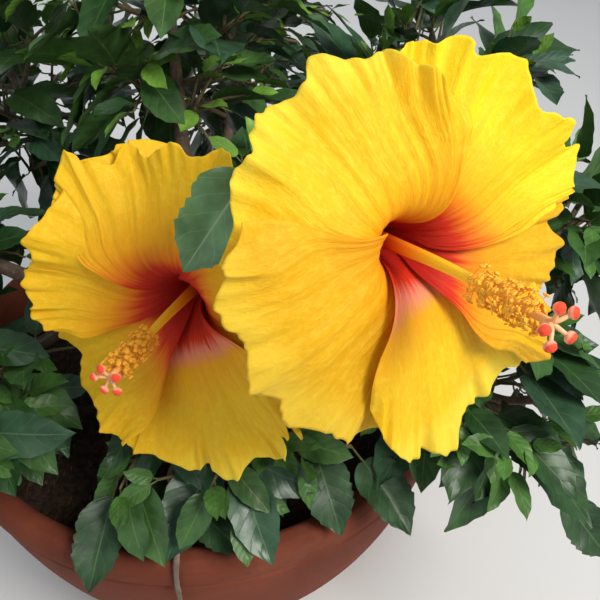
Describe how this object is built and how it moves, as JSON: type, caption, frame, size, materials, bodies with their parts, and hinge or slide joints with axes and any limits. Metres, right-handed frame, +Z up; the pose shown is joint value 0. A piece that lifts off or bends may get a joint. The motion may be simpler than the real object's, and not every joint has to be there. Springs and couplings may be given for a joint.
{
  "type": "potted hibiscus shrub",
  "caption": "Low, spreading hibiscus shrub with open yellow flowers and dark toothed leaves, growing in a round terracotta bowl pot.",
  "frame": {"origin": "centre of the pot's flat underside, on the ground it stands on", "axes": "+Z up along the pot's axis; the two open flowers are on the -Y side, and +X is to the right as they are seen from there"},
  "size_m": [0.6457, 0.5576, 0.553],
  "materials": {
    "terracotta": "matte",
    "soil": "matte",
    "bark": "matte",
    "leaf": "satin",
    "petal": "satin",
    "column": "satin",
    "calyx": "satin"
  },
  "bodies": {
    "root": {"bough_back": "bark", "bough_back_left": "bark", "bough_back_right": "bark", "bough_front": "bark", "bough_front_left": "bark", "bough_front_right": "bark", "bough_left": "bark", "bough_right": "bark", "bough_top": "bark", "calyx_left": "calyx", "calyx_right": "calyx", "column_left": "column", "column_right": "column", "flower_bough_left": "bark", "flower_bough_right": "bark", "flower_shoot_left": "leaf", "flower_shoot_right": "leaf", "foliage_back": "leaf", "foliage_back_left": "leaf", "foliage_back_right": "leaf", "foliage_front": "leaf", "foliage_front_left": "leaf", "foliage_front_right": "leaf", "foliage_left": "leaf", "foliage_right": "leaf", "foliage_top": "leaf", "petals_left": "petal", "petals_right": "petal", "pot": "terracotta", "soil": "soil", "trunk": "bark"}
  },
  "joints": []
}
